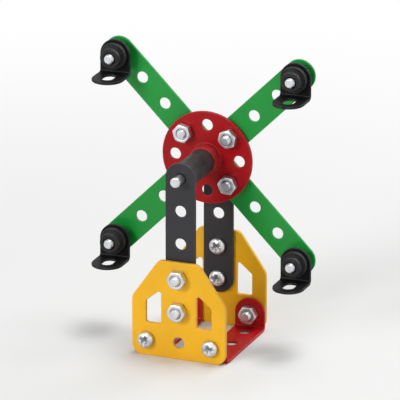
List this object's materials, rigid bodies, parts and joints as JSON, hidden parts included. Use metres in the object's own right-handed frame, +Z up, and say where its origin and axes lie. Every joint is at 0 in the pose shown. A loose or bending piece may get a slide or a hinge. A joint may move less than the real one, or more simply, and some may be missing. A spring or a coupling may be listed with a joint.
{
  "type": "toy ferris wheel",
  "caption": "Metal construction set ferris wheel: plate-and-strip stand, a cross of strips turning on an axle, and angle bracket seats hanging from the strip ends.",
  "frame": {"origin": "on the ground, midway between the uprights and midway along the axle", "axes": "+Z up, -Y towards the front of the toy, +X to the right; the wheel turns about Y"},
  "size_m": [0.0838, 0.0516, 0.1117],
  "materials": {
    "yellow_paint": "glossy amber yellow enamel on sheet steel",
    "black_paint": "satin charcoal enamel on strip steel",
    "red_paint": "glossy red enamel on steel",
    "green_paint": "glossy green enamel on strip steel",
    "seat_black": "black enamel on folded steel",
    "black_plastic": "moulded black plastic",
    "zinc_plate": "bright zinc plated steel"
  },
  "bodies": {
    "base": {"front_base_plate": "yellow_paint", "rear_base_plate": "yellow_paint", "front_upright": "black_paint", "rear_upright": "black_paint", "left_base_strip": "red_paint", "right_base_strip": "red_paint", "front_left_foot_bolt": "zinc_plate", "front_left_foot_nut": "zinc_plate", "front_right_foot_bolt": "zinc_plate", "front_right_foot_nut": "zinc_plate", "front_upright_lower_bolt": "zinc_plate", "front_upright_lower_nut": "zinc_plate", "front_upright_upper_bolt": "zinc_plate", "front_upright_upper_nut": "zinc_plate", "rear_left_foot_bolt": "zinc_plate", "rear_left_foot_nut": "zinc_plate", "rear_right_foot_bolt": "zinc_plate", "rear_right_foot_nut": "zinc_plate", "rear_upright_lower_bolt": "zinc_plate", "rear_upright_lower_nut": "zinc_plate", "rear_upright_upper_bolt": "zinc_plate", "rear_upright_upper_nut": "zinc_plate"},
    "wheel": {"axle": "zinc_plate", "front_spacer_tube": "black_plastic", "rear_spacer": "black_plastic", "hub_disc": "red_paint", "hub_grub_screw": "zinc_plate", "arm_a": "green_paint", "arm_b": "green_paint", "hub_upper_left_bolt": "zinc_plate", "hub_upper_left_nut": "zinc_plate", "hub_upper_right_bolt": "zinc_plate", "hub_upper_right_nut": "zinc_plate", "hub_lower_left_bolt": "zinc_plate", "hub_lower_left_nut": "zinc_plate", "hub_lower_right_bolt": "zinc_plate", "hub_lower_right_nut": "zinc_plate", "seat_bolt_upper_left": "zinc_plate", "seat_lock_nut_upper_left": "zinc_plate", "seat_bush_upper_left": "black_plastic", "seat_bolt_upper_right": "zinc_plate", "seat_lock_nut_upper_right": "zinc_plate", "seat_bush_upper_right": "black_plastic", "seat_bolt_lower_left": "zinc_plate", "seat_lock_nut_lower_left": "zinc_plate", "seat_bush_lower_left": "black_plastic", "seat_bolt_lower_right": "zinc_plate", "seat_lock_nut_lower_right": "zinc_plate", "seat_bush_lower_right": "black_plastic"},
    "seat_upper_left": {"seat_bracket_upper_left": "seat_black"},
    "seat_upper_right": {"seat_bracket_upper_right": "seat_black"},
    "seat_lower_left": {"seat_bracket_lower_left": "seat_black"},
    "seat_lower_right": {"seat_bracket_lower_right": "seat_black"}
  },
  "joints": [
    {"name": "wheel_spin", "type": "hinge", "parent": "base", "child": "wheel", "pos_m": [0, 0, 0.06985], "axis": [0, 1, 0], "continuous": true},
    {"name": "upper_left_seat_swing", "type": "hinge", "parent": "wheel", "child": "seat_upper_left", "pos_m": [-0.03592, 0.00545, 0.10577], "axis": [0, 1, 0], "continuous": true},
    {"name": "upper_right_seat_swing", "type": "hinge", "parent": "wheel", "child": "seat_upper_right", "pos_m": [0.03592, 0.00415, 0.10577], "axis": [0, 1, 0], "continuous": true},
    {"name": "lower_left_seat_swing", "type": "hinge", "parent": "wheel", "child": "seat_lower_left", "pos_m": [-0.03592, 0.00415, 0.03393], "axis": [0, 1, 0], "continuous": true},
    {"name": "lower_right_seat_swing", "type": "hinge", "parent": "wheel", "child": "seat_lower_right", "pos_m": [0.03592, 0.00545, 0.03393], "axis": [0, 1, 0], "continuous": true}
  ]
}
